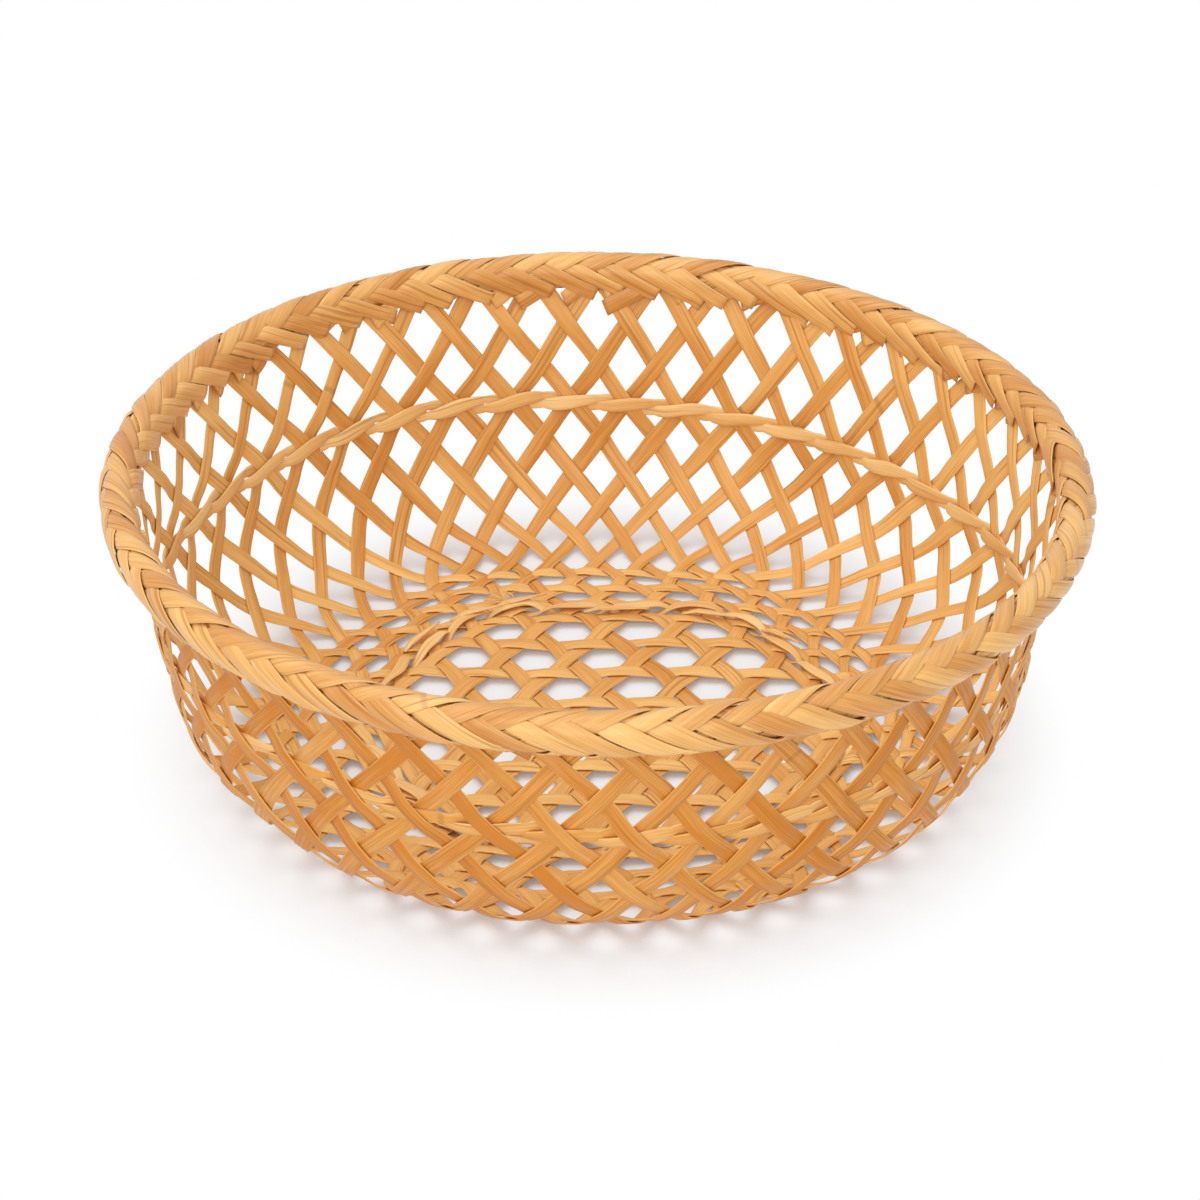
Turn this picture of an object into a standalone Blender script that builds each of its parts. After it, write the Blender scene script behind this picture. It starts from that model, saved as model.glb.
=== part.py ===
"""Round zaru basket of split bamboo.

Hexagonal mesh floor, diamond lattice wall, two twined rings, and a rim of two hoops under a plait.

Units are metres, +Z is up, and the origin is on the standing plane below the middle of the floor.
Every strip of the mesh is one long piece: it climbs the wall, crosses the floor as a straight
chord, and climbs the wall again on the far side.

A place on the basket is given by its arc, the length measured from the middle of the floor
outwards and up the wall, by its azimuth, and by its lift, the height above the middle surface
of the weave, counted towards the inside of the bowl.
"""
import math
from collections import namedtuple

import bpy
import numpy as np

MM = 0.001

# Counts of the weave
ENDS = 6                                   # ends of the three directions of the floor mesh
STRIPS_PER_END = 7                         # strips that lean one way from each end
CROSSINGS_ROUND = ENDS * STRIPS_PER_END    # crossings in one row of the wall
STEP = 2 * math.pi / CROSSINGS_ROUND       # azimuth between two crossings of a row
SIXTH = 2 * math.pi / ENDS

# Outline of the bowl, along the middle surface of the weave
FLOOR_RADIUS = 93 * MM
HEEL_RADIUS = 40 * MM
WALL_ANGLE = math.radians(83)
WAIST_HEIGHT = 46.2 * MM                   # of the upper ring, above the floor
WALL_HEIGHT = 88.5 * MM                    # from the floor to the ends of the strips

# Strips of the mesh
STRIP_THICKNESS = 0.4 * MM
WEAVE_GAP = 0.2 * MM                       # least air between two strips that cross
MESH_SHARE = 0.1935                        # of the floor's radius, between parallel strips
STRIP_SHARE = 0.2225                       # of the mesh spacing, taken up by a strip
CLOSE_START_SHARE = 3.5                    # where the rows draw closer, in mesh spacings
CLOSE_WEAVE_SHARE = 0.74                   # how close they lie from there on
LOWER_LEAN = math.radians(43.5)            # of a strip from upright, just below the waist ring
UPPER_TURN = 1.665                         # turn of a strip from there to its end, in steps
TURN_BACK = 0.25                           # least turn from the chord to the lattice, in steps
TURN_START_SHARE = 0.76                    # where a strip starts to bend into the lattice
TURN_END_SHARE = 0.9217                    # and where it is in it, of the arc to the waist ring

# Twined rings, each of two strands that pass over and under the crossings in turn
TWINE_WIDTH = 2.4 * MM
TWINE_THICKNESS = 0.6 * MM
TWINE_GAP = 0.4 * MM                       # air between a strand and the strips it passes
WAIST_PASS_SHARE = 0.29                    # half length of a pass, as a share of a step
FLOOR_PASS_SHARE = 0.29                    # and of the mesh spacing, at the open crossings
FLOOR_LONG_PASS_SHARE = 0.42               # and at the crossings nearest to the six ends
FLOOR_OUTSET_SHARE = 0.13                  # how far the ring stands out at those crossings

# Rim
HOOP_HEIGHT = 5 * MM
HOOP_DROP = 0.5 * MM                       # from the ends of the strips down to the hoops' top
INNER_HOOP_THICKNESS = 1.2 * MM
OUTER_HOOP_THICKNESS = 5.8 * MM
HOOP_GAP = 1 * MM                          # from the middle of the wall to each hoop
HOOP_SIDES = CROSSINGS_ROUND
PLAIT_RADIUS = 7.4 * MM                    # from the middle of the hoops to the plait's outside
PLAIT_THICKNESS = 1.1 * MM
PLAIT_RELIEF = 0.35 * MM
PLAIT_ROWS = 6                             # rows of facets from the inner edge to the outer one
PLAIT_STATIONS = 2 * CROSSINGS_ROUND
PLAIT_REACH = math.radians(125)            # how far each edge wraps down from the top

# Sampling
COURSE_SAMPLES = 320
LONG_SPAN = 13 * MM                        # rise between two crossings of a strip
LIFT_PASSES = 60

SIDES = ("back", "back_left", "front_left", "front", "front_right", "back_right")

Crossing = namedtuple("Crossing", "place other turn other_place arc azimuth along across")


def clear_scene():
    for item in list(bpy.data.objects):
        bpy.data.objects.remove(item, do_unlink=True)


def make_material(name, colour, roughness):
    material = bpy.data.materials.new(name)
    material.use_nodes = True
    shader = material.node_tree.nodes["Principled BSDF"]
    shader.inputs["Base Color"].default_value = (*colour, 1)
    shader.inputs["Roughness"].default_value = roughness
    shader.inputs["Metallic"].default_value = 0
    return material


def bowl_outline(arc):
    """Radius, height and slope of the middle surface: flat floor, round heel, leaning wall."""
    slope = np.clip((arc - FLOOR_RADIUS) / HEEL_RADIUS, 0, WALL_ANGLE)
    up_the_wall = np.maximum(arc - FLOOR_RADIUS - HEEL_RADIUS * WALL_ANGLE, 0)
    on_floor = np.minimum(arc, FLOOR_RADIUS)
    radius = on_floor + HEEL_RADIUS * np.sin(slope) + up_the_wall * math.cos(WALL_ANGLE)
    height = HEEL_RADIUS * (1 - np.cos(slope)) + up_the_wall * math.sin(WALL_ANGLE)
    return radius, height, slope


def arc_at_height(height):
    """Arc of a place on the straight part of the wall."""
    heel_height = HEEL_RADIUS * (1 - math.cos(WALL_ANGLE))
    return FLOOR_RADIUS + HEEL_RADIUS * WALL_ANGLE + (height - heel_height) / math.sin(WALL_ANGLE)


WAIST_ARC = arc_at_height(WAIST_HEIGHT)
END_ARC = arc_at_height(WALL_HEIGHT)
HOOP_FOOT_ARC = END_ARC - HOOP_DROP - HOOP_HEIGHT
MESH_SPACING = MESH_SHARE * FLOOR_RADIUS
STRIP_WIDTH = STRIP_SHARE * MESH_SPACING
CLOSE_START = CLOSE_START_SHARE * MESH_SPACING
TURN_START = TURN_START_SHARE * WAIST_ARC
TURN_END = TURN_END_SHARE * WAIST_ARC


def surface_point(arc, azimuth, lift, standing):
    """A point at a lift above the middle surface, which stands at the given height."""
    radius, height, slope = bowl_outline(arc)
    radius = radius - lift * np.sin(slope)
    return np.stack([radius * np.cos(azimuth), radius * np.sin(azimuth),
                     standing + height + lift * np.cos(slope)], axis=-1)


def plain_radius(arc):
    """Radius in the open mesh of a place beyond the floor ring, before the rows draw closer."""
    return CLOSE_START + (arc - CLOSE_START) / CLOSE_WEAVE_SHARE


def waist_lead():
    """Turn of a strip at the waist beyond its place in the row, in steps.

    It is a whole number of half steps, so that a row of crossings lies under the ring.
    """
    last = STRIPS_PER_END - 0.5
    chord = math.asin(last * MESH_SPACING / plain_radius(WAIST_ARC)) / STEP
    return round(2 * (chord - last - TURN_BACK)) / 2


WAIST_LEAD = waist_lead()
WAIST_PHASE = (WAIST_LEAD + 0.5) % 1       # azimuth of the first crossing there, in steps


def lattice_turn(arc):
    """Azimuth that a strip of the even lattice has gained, which falls as it climbs."""
    above = np.maximum(arc - WAIST_ARC, 0) / (END_ARC - WAIST_ARC)
    below = np.maximum(WAIST_ARC - arc, 0) / bowl_outline(WAIST_ARC)[0]
    return (WAIST_LEAD - UPPER_TURN * above) * STEP + math.tan(LOWER_LEAN) * below


def drawn_in(radius):
    """Arc of a place of the open mesh: the rows lie closer outside the floor ring."""
    beyond = np.maximum(radius - CLOSE_START, 0)
    return np.minimum(radius, CLOSE_START) + CLOSE_WEAVE_SHARE * beyond


def strip_course(row):
    """Arc and azimuth along a strip: a chord of the floor that turns into the wall's lattice."""
    offset = (row + 0.5) * MESH_SPACING
    half_run = math.sqrt(plain_radius(END_ARC) ** 2 - offset ** 2)
    run = np.linspace(-half_run, half_run, COURSE_SAMPLES + 1)
    arc = drawn_in(np.hypot(run, offset))
    chord = np.arctan2(offset, np.abs(run))
    lattice = lattice_turn(arc) + (row + 0.5) * STEP
    turned = np.clip((arc - TURN_START) / (TURN_END - TURN_START), 0, 1)
    blend = turned * turned * (3 - 2 * turned)
    azimuth = chord + blend * (lattice - chord)
    return arc, np.where(run < 0, math.pi - azimuth, azimuth)


def flat_map(arc, azimuth):
    return np.stack([arc * np.cos(azimuth), arc * np.sin(azimuth)], axis=1)


def meetings(first, second):
    """Places, as fractional sample numbers, where two lines of the flat map cross."""
    start, other_start = first[:-1, None], second[None, :-1]
    step = np.diff(first, axis=0)[:, None]
    other_step = np.diff(second, axis=0)[None]
    turn = step[..., 0] * other_step[..., 1] - step[..., 1] * other_step[..., 0]
    turn = np.where(turn == 0, np.inf, turn)
    apart = other_start - start
    share = (apart[..., 0] * other_step[..., 1] - apart[..., 1] * other_step[..., 0]) / turn
    other_share = (apart[..., 0] * step[..., 1] - apart[..., 1] * step[..., 0]) / turn
    meets = (share >= 0) & (share < 1) & (other_share >= 0) & (other_share < 1)
    at, other_at = np.nonzero(meets & np.isfinite(turn))
    return zip(at + share[at, other_at], other_at + other_share[at, other_at])


def place_on(course, place):
    """Arc, azimuth and unit direction, outwards and round, at a fractional sample number."""
    arcs, azimuths = course
    index = min(int(place), len(arcs) - 2)
    share = place - index
    arc = arcs[index] + share * (arcs[index + 1] - arcs[index])
    azimuth = azimuths[index] + share * (azimuths[index + 1] - azimuths[index])
    start, end = flat_map(arcs[index:index + 2], azimuths[index:index + 2])
    outward = (end - start) @ (math.cos(azimuth), math.sin(azimuth))
    sideways = (end - start) @ (-math.sin(azimuth), math.cos(azimuth))
    direction = np.array([outward, sideways * bowl_outline(arc)[0] / arc])
    return arc, azimuth, direction / np.hypot(*direction)


def find_crossings(courses):
    """Every crossing below the hoops, strip by strip and in order along each strip."""
    table = []
    for row, course in enumerate(courses):
        own = flat_map(*course)
        found = []
        for other, (arcs, azimuths) in enumerate(courses):
            for turn in range(ENDS):
                if other == row and turn == 0:
                    continue
                crossed = flat_map(arcs, azimuths + turn * SIXTH)
                for place, other_place in meetings(own, crossed):
                    arc, azimuth, along = place_on(course, place)
                    across = place_on(courses[other], other_place)[2]
                    if arc < HOOP_FOOT_ARC:
                        found.append(Crossing(place, other, turn, other_place,
                                              arc, azimuth, along, across))
        table.append(sorted(found, key=lambda crossing: crossing.place))
    return table


def crossing_sign(table, row):
    """Over or under at each crossing in turn, set by the middle of the floor.

    There a strip lies over the next direction of the mesh and under the one after it.
    """
    middle = COURSE_SAMPLES / 2
    on_floor = [index for index, crossing in enumerate(table[row]) if crossing.turn % 3]
    nearest = min(on_floor, key=lambda index: abs(table[row][index].place - middle))
    first = 1 if table[row][nearest].turn % 3 == 1 else -1
    return [first * (-1) ** (index - nearest) for index in range(len(table[row]))]


def turned_cosine(crossing):
    return abs(crossing.along[0] * crossing.across[1] - crossing.along[1] * crossing.across[0])


def half_overlap(crossing):
    """Half the length along a strip that the strip crossing it covers."""
    return STRIP_WIDTH / 2 / turned_cosine(crossing)


def crossing_lifts(table):
    """Lift at each crossing, so that the two strips clear each other over all of their overlap.

    A strip runs straight from the crest of one crossing to the trough of the next, so it
    loses height towards the edge of the overlap: the loss is the share of the way to the
    nearer neighbour times the sum of both lifts.
    """
    needed = STRIP_THICKNESS + WEAVE_GAP
    losses = []
    partners = []
    for row, crossings in enumerate(table):
        lines = np.array([crossing_line(crossing, 0, 0) for crossing in crossings])
        spans = np.linalg.norm(np.diff(lines, axis=0), axis=2).min(axis=1)
        before = np.concatenate([spans[:1], spans])
        after = np.concatenate([spans, spans[-1:]])
        overlap = np.array([half_overlap(crossing) for crossing in crossings])
        losses.append((overlap / before, overlap / after))
        partners.append([partner_slot(table, row, crossing) for crossing in crossings])
    lifts = [np.full(len(crossings), needed) for crossings in table]
    for _ in range(LIFT_PASSES):
        slopes = [own_loss(lift, loss) for lift, loss in zip(lifts, losses)]
        raised = []
        for row, slots in enumerate(partners):
            other = [slopes[partner][slot] for partner, slot in slots]
            raised.append(np.maximum((needed + slopes[row] + other) / 2, needed / 2))
        lifts = raised
    return lifts


def own_loss(lift, loss):
    """Height that a strip loses at the edge of each overlap, on its worse side."""
    before, after = loss
    lift_before = np.concatenate([lift[:1], lift[:-1]])
    lift_after = np.concatenate([lift[1:], lift[-1:]])
    return np.maximum(before * (lift + lift_before), after * (lift + lift_after))


def partner_slot(table, row, crossing):
    """The same crossing in the list of the strip that is crossed."""
    slots = [slot for slot, back in enumerate(table[crossing.other])
             if back.other == row and (back.turn + crossing.turn) % ENDS == 0]
    nearest = min(slots, key=lambda slot: abs(table[crossing.other][slot].place
                                              - crossing.other_place))
    return crossing.other, nearest


def ribbon_lines(course, crossings, signs, lifts, standing):
    """Cross lines of a strip, in order along it.

    There is one along each strip it crosses, one square at each end, and one square in the
    middle of each long span, so that the strip keeps to the round of the heel.
    """
    tail_lift = (STRIP_THICKNESS + WEAVE_GAP) / 2
    lines = [square_line(course, 0, signs[0] * tail_lift, standing)]
    before = crossings[0]
    for crossing, sign, lift in zip(crossings, signs, lifts):
        middle = (before.place + crossing.place) / 2
        if abs(crossing.arc - before.arc) > LONG_SPAN:
            lines.append(square_line(course, middle, 0, standing))
        lines.append(crossing_line(crossing, sign * lift, standing))
        before = crossing
    lines.append(square_line(course, len(course[0]) - 1, signs[-1] * tail_lift, standing))
    return np.array(lines)


def crossing_line(crossing, lift, standing):
    """Cross line that lies along the strip that is crossed, from right to left."""
    along, across = crossing.along, crossing.across
    leftward = 1 if along[0] * across[1] > along[1] * across[0] else -1
    half = leftward * half_overlap(crossing) * across
    return cross_line(crossing.arc, crossing.azimuth, half, lift, standing)


def square_line(course, place, lift, standing):
    arc, azimuth, along = place_on(course, place)
    half = STRIP_WIDTH / 2 * np.array([-along[1], along[0]])
    return cross_line(arc, azimuth, half, lift, standing)


def cross_line(arc, azimuth, half, lift, standing):
    """Two points on either side of a place, at the given half step outwards and round."""
    radius = bowl_outline(arc)[0]
    outward, sideways = np.outer(half, (-1, 1))
    return surface_point(np.hypot(arc + outward, sideways),
                         azimuth + np.arctan2(sideways, radius + outward), lift, standing)


def add_object(name, mesh, material, collection):
    if not mesh.materials:
        mesh.materials.append(material)
    item = bpy.data.objects.new(name, mesh)
    collection.objects.link(item)
    return item


def add_thickness(item, thickness):
    solidify = item.modifiers.new("Thickness", 'SOLIDIFY')
    solidify.thickness = thickness
    solidify.offset = 0


def ribbon_mesh(name, lines, closed):
    """An open surface of one quad between each two cross lines."""
    count = len(lines)
    mesh = bpy.data.meshes.new(name)
    spans = count if closed else count - 1
    faces = []
    for index in range(spans):
        following = (index + 1) % count
        faces.append((2 * index, 2 * following, 2 * following + 1, 2 * index + 1))
    mesh.from_pydata(lines.reshape(-1, 3).tolist(), [], faces)
    return mesh


def make_strips(collection, standing, courses, table, lifts):
    """Seven unlike strips, each laid six times round the middle."""
    material = make_material("split_bamboo_strip", (0.62, 0.33, 0.10), 0.45)
    for row, course in enumerate(courses):
        signs = crossing_sign(table, row)
        lines = ribbon_lines(course, table[row], signs, lifts[row], standing)
        mesh = ribbon_mesh(f"strip_{row + 1}", lines, closed=False)
        for turn, side in enumerate(SIDES):
            strip = add_object(f"{side}_strip_{row + 1}", mesh, material, collection)
            strip.rotation_euler.z = turn * SIXTH
            add_thickness(strip, STRIP_THICKNESS)


def floor_meeting(first_row, second_row):
    """Arc and azimuth where two strips of neighbouring ends cross on the floor.

    The first leans from the end at azimuth zero, the second leans back from the next end.
    """
    first = (first_row + 0.5) * MESH_SPACING
    second = (second_row + 0.5) * MESH_SPACING
    away = (second + first * math.cos(SIXTH)) / math.sin(SIXTH)
    return drawn_in(math.hypot(first, away)), math.atan2(first, away)


def floor_ring_places():
    """Crossings that the floor ring runs over, with the half length of its pass at each."""
    places = []
    for first_row, second_row in ((0, 3), (1, 2), (2, 1), (3, 0)):
        arc, azimuth = floor_meeting(first_row, second_row)
        near_end = 0 in (first_row, second_row)
        reach = MESH_SPACING * (FLOOR_LONG_PASS_SHARE if near_end else FLOOR_PASS_SHARE)
        outset = MESH_SPACING * FLOOR_OUTSET_SHARE if near_end else 0
        places.append((arc + outset, azimuth, reach))
    return [(arc, azimuth + turn * SIXTH, reach) for turn in range(ENDS)
            for arc, azimuth, reach in places]


def floor_ring_line(places, index, end, sway, lift, standing):
    """Cross line at the start or end of a pass, square to the straight run that follows it."""
    here = flat_map(*(np.array([value]) for value in places[index][:2]))[0]
    there = flat_map(*(np.array([value])
                       for value in places[(index + end) % len(places)][:2]))[0]
    along = (there - here) / np.linalg.norm(there - here)
    outward = end * np.array([along[1], -along[0]])
    middle = here + along * places[index][2]
    ends = [middle + outward * (sway + side * TWINE_WIDTH / 2) for side in (-1, 1)]
    return [(x, y, standing + lift) for x, y in ends]


def waist_ring_line(index, end, sway, lift, standing):
    arc = WAIST_ARC + sway
    azimuth = (index + WAIST_PHASE + end * WAIST_PASS_SHARE) * STEP
    half = np.array([TWINE_WIDTH / 2, 0])
    return cross_line(arc, azimuth, half, lift, standing)


def make_twined_ring(collection, names, passes, line_at, crest, material):
    """Two strands that change sides between crossings, one always above where the other is below.

    A strand slants outwards where it passes above, and inwards where it passes below, so the
    two lie side by side where they change places.
    """
    height = crest + (STRIP_THICKNESS + TWINE_THICKNESS) / 2 + TWINE_GAP
    sway = (TWINE_WIDTH + WEAVE_GAP) / 2
    for strand, name in enumerate(names):
        lines = []
        for index in range(passes):
            side = 1 if (index + strand) % 2 == 0 else -1
            for end in (-1, 1):
                lines.append(line_at(index, end, end * side * sway, side * height))
        ring = add_object(name, ribbon_mesh(name, np.array(lines), closed=True), material,
                          collection)
        add_thickness(ring, TWINE_THICKNESS)


def hoop_frame(standing):
    """Middle of the wall inside the hoops, as radius and height, and its slope."""
    radius, height, slope = bowl_outline(HOOP_FOOT_ARC + HOOP_HEIGHT / 2)
    return float(radius), float(height) + standing, float(slope)


def make_hoop(collection, name, near, far, standing, material):
    """A turned band between two distances from the middle of the wall, counted outwards."""
    radius, height, slope = hoop_frame(standing)
    upward = np.array([math.cos(slope), math.sin(slope)]) * HOOP_HEIGHT / 2
    outward = np.array([math.sin(slope), -math.cos(slope)])
    middle = np.array([radius, height])
    corners = [middle + outward * far + upward, middle + outward * far - upward,
               middle + outward * near - upward, middle + outward * near + upward]
    outside_flats = 1 / math.cos(math.pi / HOOP_SIDES)
    points = [(corner[0] * outside_flats, 0, corner[1]) for corner in corners]
    mesh = bpy.data.meshes.new(name)
    mesh.from_pydata(points, [(0, 1), (1, 2), (2, 3), (3, 0)], [])
    hoop = add_object(name, mesh, material, collection)
    turn = hoop.modifiers.new("Turn", 'SCREW')
    turn.steps = HOOP_SIDES
    turn.render_steps = HOOP_SIDES
    turn.use_merge_vertices = True
    turn.merge_threshold = 0.01 * MM


def make_rim_plait(collection, standing, material):
    """A plaited band that wraps over both hoops, open below, with a relief of facets."""
    radius, height, _ = hoop_frame(standing)
    middle = radius + (OUTER_HOOP_THICKNESS - INNER_HOOP_THICKNESS) / 2
    station = np.arange(PLAIT_STATIONS)[:, None]
    row = np.arange(PLAIT_ROWS)[None]
    wrap = PLAIT_REACH * (2 * row / (PLAIT_ROWS - 1) - 1)
    azimuth = station * 2 * math.pi / PLAIT_STATIONS
    relief = PLAIT_RELIEF * np.where((station + row) % 2 == 0, 1, -1)
    reach = PLAIT_RADIUS - PLAIT_THICKNESS / 2 + relief
    out = middle + reach * np.sin(wrap)
    up = height + reach * np.cos(wrap) + 0 * azimuth
    points = np.stack([out * np.cos(azimuth), out * np.sin(azimuth), up], axis=-1)
    faces = []
    for index in range(PLAIT_STATIONS):
        here = index * PLAIT_ROWS
        there = (index + 1) % PLAIT_STATIONS * PLAIT_ROWS
        for line in range(PLAIT_ROWS - 1):
            faces.append((here + line, here + line + 1, there + line + 1, there + line))
    mesh = bpy.data.meshes.new("rim_plait")
    mesh.from_pydata(points.reshape(-1, 3).tolist(), [], faces)
    plait = add_object("rim_plait", mesh, material, collection)
    add_thickness(plait, PLAIT_THICKNESS)


def crest_near(table, lifts, arc):
    """Highest lift of the crossings within half a mesh spacing of an arc."""
    near = [lift for crossings, row_lifts in zip(table, lifts)
            for crossing, lift in zip(crossings, row_lifts)
            if abs(crossing.arc - arc) < MESH_SPACING / 4]
    return max(near)


def build():
    clear_scene()
    collection = bpy.data.collections.new("zaru_basket")
    bpy.context.scene.collection.children.link(collection)

    courses = [strip_course(row) for row in range(STRIPS_PER_END)]
    table = find_crossings(courses)
    lifts = crossing_lifts(table)
    ring_places = floor_ring_places()
    floor_crest = crest_near(table, lifts, ring_places[0][0])
    standing = floor_crest + STRIP_THICKNESS / 2 + TWINE_GAP + TWINE_THICKNESS
    make_strips(collection, standing, courses, table, lifts)

    twine = make_material("twined_bamboo", (0.66, 0.37, 0.12), 0.45)
    make_twined_ring(collection, ("floor_ring_strand_1", "floor_ring_strand_2"),
                     len(ring_places),
                     lambda *line: floor_ring_line(ring_places, *line, standing),
                     floor_crest, twine)
    make_twined_ring(collection, ("waist_ring_strand_1", "waist_ring_strand_2"),
                     CROSSINGS_ROUND, lambda *line: waist_ring_line(*line, standing),
                     crest_near(table, lifts, WAIST_ARC), twine)

    hoop = make_material("bamboo_hoop", (0.60, 0.36, 0.14), 0.5)
    make_hoop(collection, "inner_hoop", -HOOP_GAP - INNER_HOOP_THICKNESS, -HOOP_GAP, standing,
              hoop)
    make_hoop(collection, "outer_hoop", HOOP_GAP, HOOP_GAP + OUTER_HOOP_THICKNESS, standing,
              hoop)
    make_rim_plait(collection, standing, make_material("plaited_bamboo", (0.74, 0.47, 0.18), 0.4))


build()
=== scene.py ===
"""Round zaru basket of split bamboo, woven and plaited over its CAD frame.

The file is laid out as an add-on: each operator makes one group of pieces, and the settings
hold the sizes and colours that a user would change. All lengths are metres, +Z is up.

A place on the basket is given by its arc, the length measured from the middle of the floor
outwards and up the wall, by its azimuth, and by its lift, the height above the middle surface
of the weave, counted towards the inside of the bowl.
"""

import math

import bpy
import numpy as np
from bpy.props import FloatProperty, IntProperty, PointerProperty, StringProperty
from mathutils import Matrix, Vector


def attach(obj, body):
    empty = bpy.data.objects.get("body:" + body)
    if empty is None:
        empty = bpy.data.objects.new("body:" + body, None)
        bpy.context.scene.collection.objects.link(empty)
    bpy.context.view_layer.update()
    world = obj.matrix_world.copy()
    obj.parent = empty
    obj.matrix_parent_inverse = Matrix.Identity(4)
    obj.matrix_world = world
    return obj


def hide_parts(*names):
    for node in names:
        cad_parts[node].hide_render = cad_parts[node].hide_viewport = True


bl_info = {
    "name": "Zaru Basket",
    "version": (1, 0, 0),
    "blender": (4, 5, 0),
    "location": "View3D > Sidebar > Zaru",
    "description": "Weaves a zaru basket of split bamboo over its CAD frame",
    "category": "Add Mesh",
}

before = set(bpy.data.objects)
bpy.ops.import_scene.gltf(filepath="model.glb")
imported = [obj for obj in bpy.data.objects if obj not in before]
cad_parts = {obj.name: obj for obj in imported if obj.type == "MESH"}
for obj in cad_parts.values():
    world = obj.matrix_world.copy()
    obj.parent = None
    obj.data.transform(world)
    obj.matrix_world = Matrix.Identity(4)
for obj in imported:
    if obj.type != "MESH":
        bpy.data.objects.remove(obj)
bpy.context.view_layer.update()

MM = 0.001

# Counts of the weave, as in the solids
ENDS = 6
STRIPS_PER_END = 7
CROSSINGS_ROUND = ENDS * STRIPS_PER_END
STEP = 2 * math.pi / CROSSINGS_ROUND
SIXTH = 2 * math.pi / ENDS
SIDES = ("back", "back_left", "front_left", "front", "front_right", "back_right")

# Middle surface of the weave, as in the solids
FLOOR_RADIUS = 93 * MM
HEEL_RADIUS = 40 * MM
WALL_ANGLE = math.radians(83)
WAIST_HEIGHT = 46.2 * MM
WALL_HEIGHT = 88.5 * MM
STANDING = 2.51 * MM                       # height of the floor's middle surface

# Courses of the strips: near those of the solids, with the rows where the photograph shows them
MESH_SPACING = 0.1935 * FLOOR_RADIUS
CLOSE_START = 3.5 * MESH_SPACING
CLOSE_WEAVE_SHARE = 0.66                   # of the rows' spacing, kept outside CLOSE_START
LOWER_LEAN = math.radians(42)
UPPER_TURN = 1.665                         # steps that a strip turns from the waist to its end
WAIST_LEAD = -2.5                          # steps, of the azimuth at the waist
HOOP_FOOT_DROP = 5.5 * MM                  # from the ends of the strips to the hoops' lower edge
COURSE_SAMPLES = 320
TURN_START = 84 * MM                       # where a strip bends from its chord into the lattice
TURN_END = 118 * MM

# Strips of the mesh
STATION_SPACING = 1.3 * MM
LEVEL_SHARE = 0.2                          # of a span, where a strip lies level on a crossing
LEAST_ROOM = 0.8                           # lifts grow by up to its inverse at close crossings
WAIST_REACH = 2 * MM                       # arc within which a crossing is one of the waist ring
NARROWING = (58 * MM, 16 * MM)             # arc where strips turn narrower, and over what length
WIDENING = (118 * MM, 24 * MM)             # arc where they turn wide again, and its length
STRIP_WANDER = (60 * MM, 0.22 * MM)        # sideways: length of a wave, and amount
STRIP_WIDTH_PLAY = (45 * MM, 0.05)         # length of a wave, and share of the width
STRIP_SEED = 100
TONE_SPREAD = 0.55
PALER = 0.45                               # tone added to the strips from side to side

# Outline of a split strip: shares of its width and of its thickness, from one edge over the
# upper side to the other edge and back along the lower side
STRIP_SECTION = np.array([(-0.5, 0.0), (-0.46, 0.34), (-0.25, 0.47), (0.0, 0.5), (0.25, 0.47),
                          (0.46, 0.34), (0.5, 0.0), (0.46, -0.4), (0.0, -0.5), (-0.46, -0.4)])

# Unevenness of the photographed basket. A pair whose comment begins with radius, height, arc or
# slope is a cubic step: where it starts, and how far on it is complete
HAND_SEED = 11
HAND_WAVES = 7
HAND_SWAY = (0.36, 0.36, 0.12)             # mm, spread of a wave's size along x, y and z
HAND_FADE = (82 * MM, -30 * MM)            # height: the waves set in below the rim
HAND_LIFT = (4 * MM, 14 * MM)              # height: above the ground they also move up and down
FLOOR_SHIFT = (2.5 * MM, -4.2 * MM)        # of the floor's mesh, along x and y
FLOOR_STRETCH = 0.09                       # of the floor's mesh, along x
FLOOR_END = (60 * MM, 52 * MM)             # radius: the floor's shift ends
ROW_SLIDE = (-1.75, -4.75, -2.75)          # mm up the wall: everywhere, at the right, at the back
ROWS_FROM, ROWS_TO = (8 * MM, 28 * MM), (50 * MM, 32 * MM)      # height: rows of the wall
HEEL_SLIDE = (-4.7, -3.8)                  # mm up the wall: everywhere, at the back
HEEL_FROM, HEEL_TO = (58 * MM, 34 * MM), (120 * MM, 45 * MM)    # arc: rows of the heel
HEEL_TOP = (34 * MM, 14 * MM)              # height: the slide of the heel's rows ends
HEEL_FULLNESS = (1.7, -0.2, -0.9)          # mm outwards: everywhere, at the right, at the back
HEEL_SIDES = 0.35                          # share of the fullness that the sides lack
FULL_RADIUS = (84 * MM, 14 * MM)           # radius: the fullness sets in
FULL_FROM, FULL_TO = (0.1, 0.45), (0.65, 0.75)                  # slope: in radians, of the heel
RIM_OUTSET = (2.6, -0.5)                   # mm: everywhere, less at the sides than front and back
RIM_RISE = 0.9 * MM
RIM_FROM, TILT_FROM = (72 * MM, 14 * MM), (50 * MM, 38 * MM)    # height: outset and tilt set in
RIM_TILT = 0.011                           # fall of the rim to the right, per length

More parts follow.
